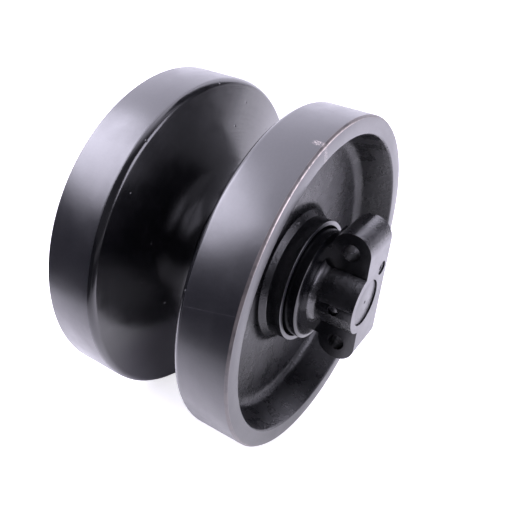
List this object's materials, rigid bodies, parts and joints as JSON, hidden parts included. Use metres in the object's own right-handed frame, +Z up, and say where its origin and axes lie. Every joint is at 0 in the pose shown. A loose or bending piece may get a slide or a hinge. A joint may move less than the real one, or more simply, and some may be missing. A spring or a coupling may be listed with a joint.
{
  "type": "track roller",
  "caption": "Twin-rim steel track roller: a welded two-half wheel that turns on a fixed shaft, held at each end by a bolted collar.",
  "frame": {"origin": "middle of the wheel on its axis, halfway between the two collars", "axes": "Y is the spin axis; +X is the outward normal of the collars' mounting faces; +Z is up, along the line of the two bolt holes"},
  "size_m": [0.36, 0.304, 0.36],
  "materials": {
    "black_paint": "satin",
    "seal_steel": "ground",
    "bearing_bronze": "satin",
    "seal_rubber": "matte"
  },
  "bodies": {
    "axle": {"shaft": "black_paint", "collar_left": "black_paint", "collar_right": "black_paint", "seal_ring_collar_left": "seal_steel", "seal_ring_collar_right": "seal_steel", "seal_rubber_collar_left": "seal_rubber", "seal_rubber_collar_right": "seal_rubber", "shaft_o_ring_left": "seal_rubber", "shaft_o_ring_right": "seal_rubber", "lock_pin_left": "black_paint", "lock_pin_right": "black_paint", "oil_plug_left": "black_paint", "oil_plug_right": "black_paint"},
    "wheel": {"wheel_half_left": "black_paint", "wheel_half_right": "black_paint", "seam_weld": "black_paint", "bush_left": "bearing_bronze", "bush_right": "bearing_bronze", "thrust_washer_left": "bearing_bronze", "thrust_washer_right": "bearing_bronze", "seal_ring_wheel_left": "seal_steel", "seal_ring_wheel_right": "seal_steel", "seal_rubber_wheel_left": "seal_rubber", "seal_rubber_wheel_right": "seal_rubber"}
  },
  "joints": [
    {"name": "wheel_spin", "type": "hinge", "parent": "axle", "child": "wheel", "pos_m": [0, 0, 0], "axis": [0, 1, 0], "continuous": true}
  ]
}
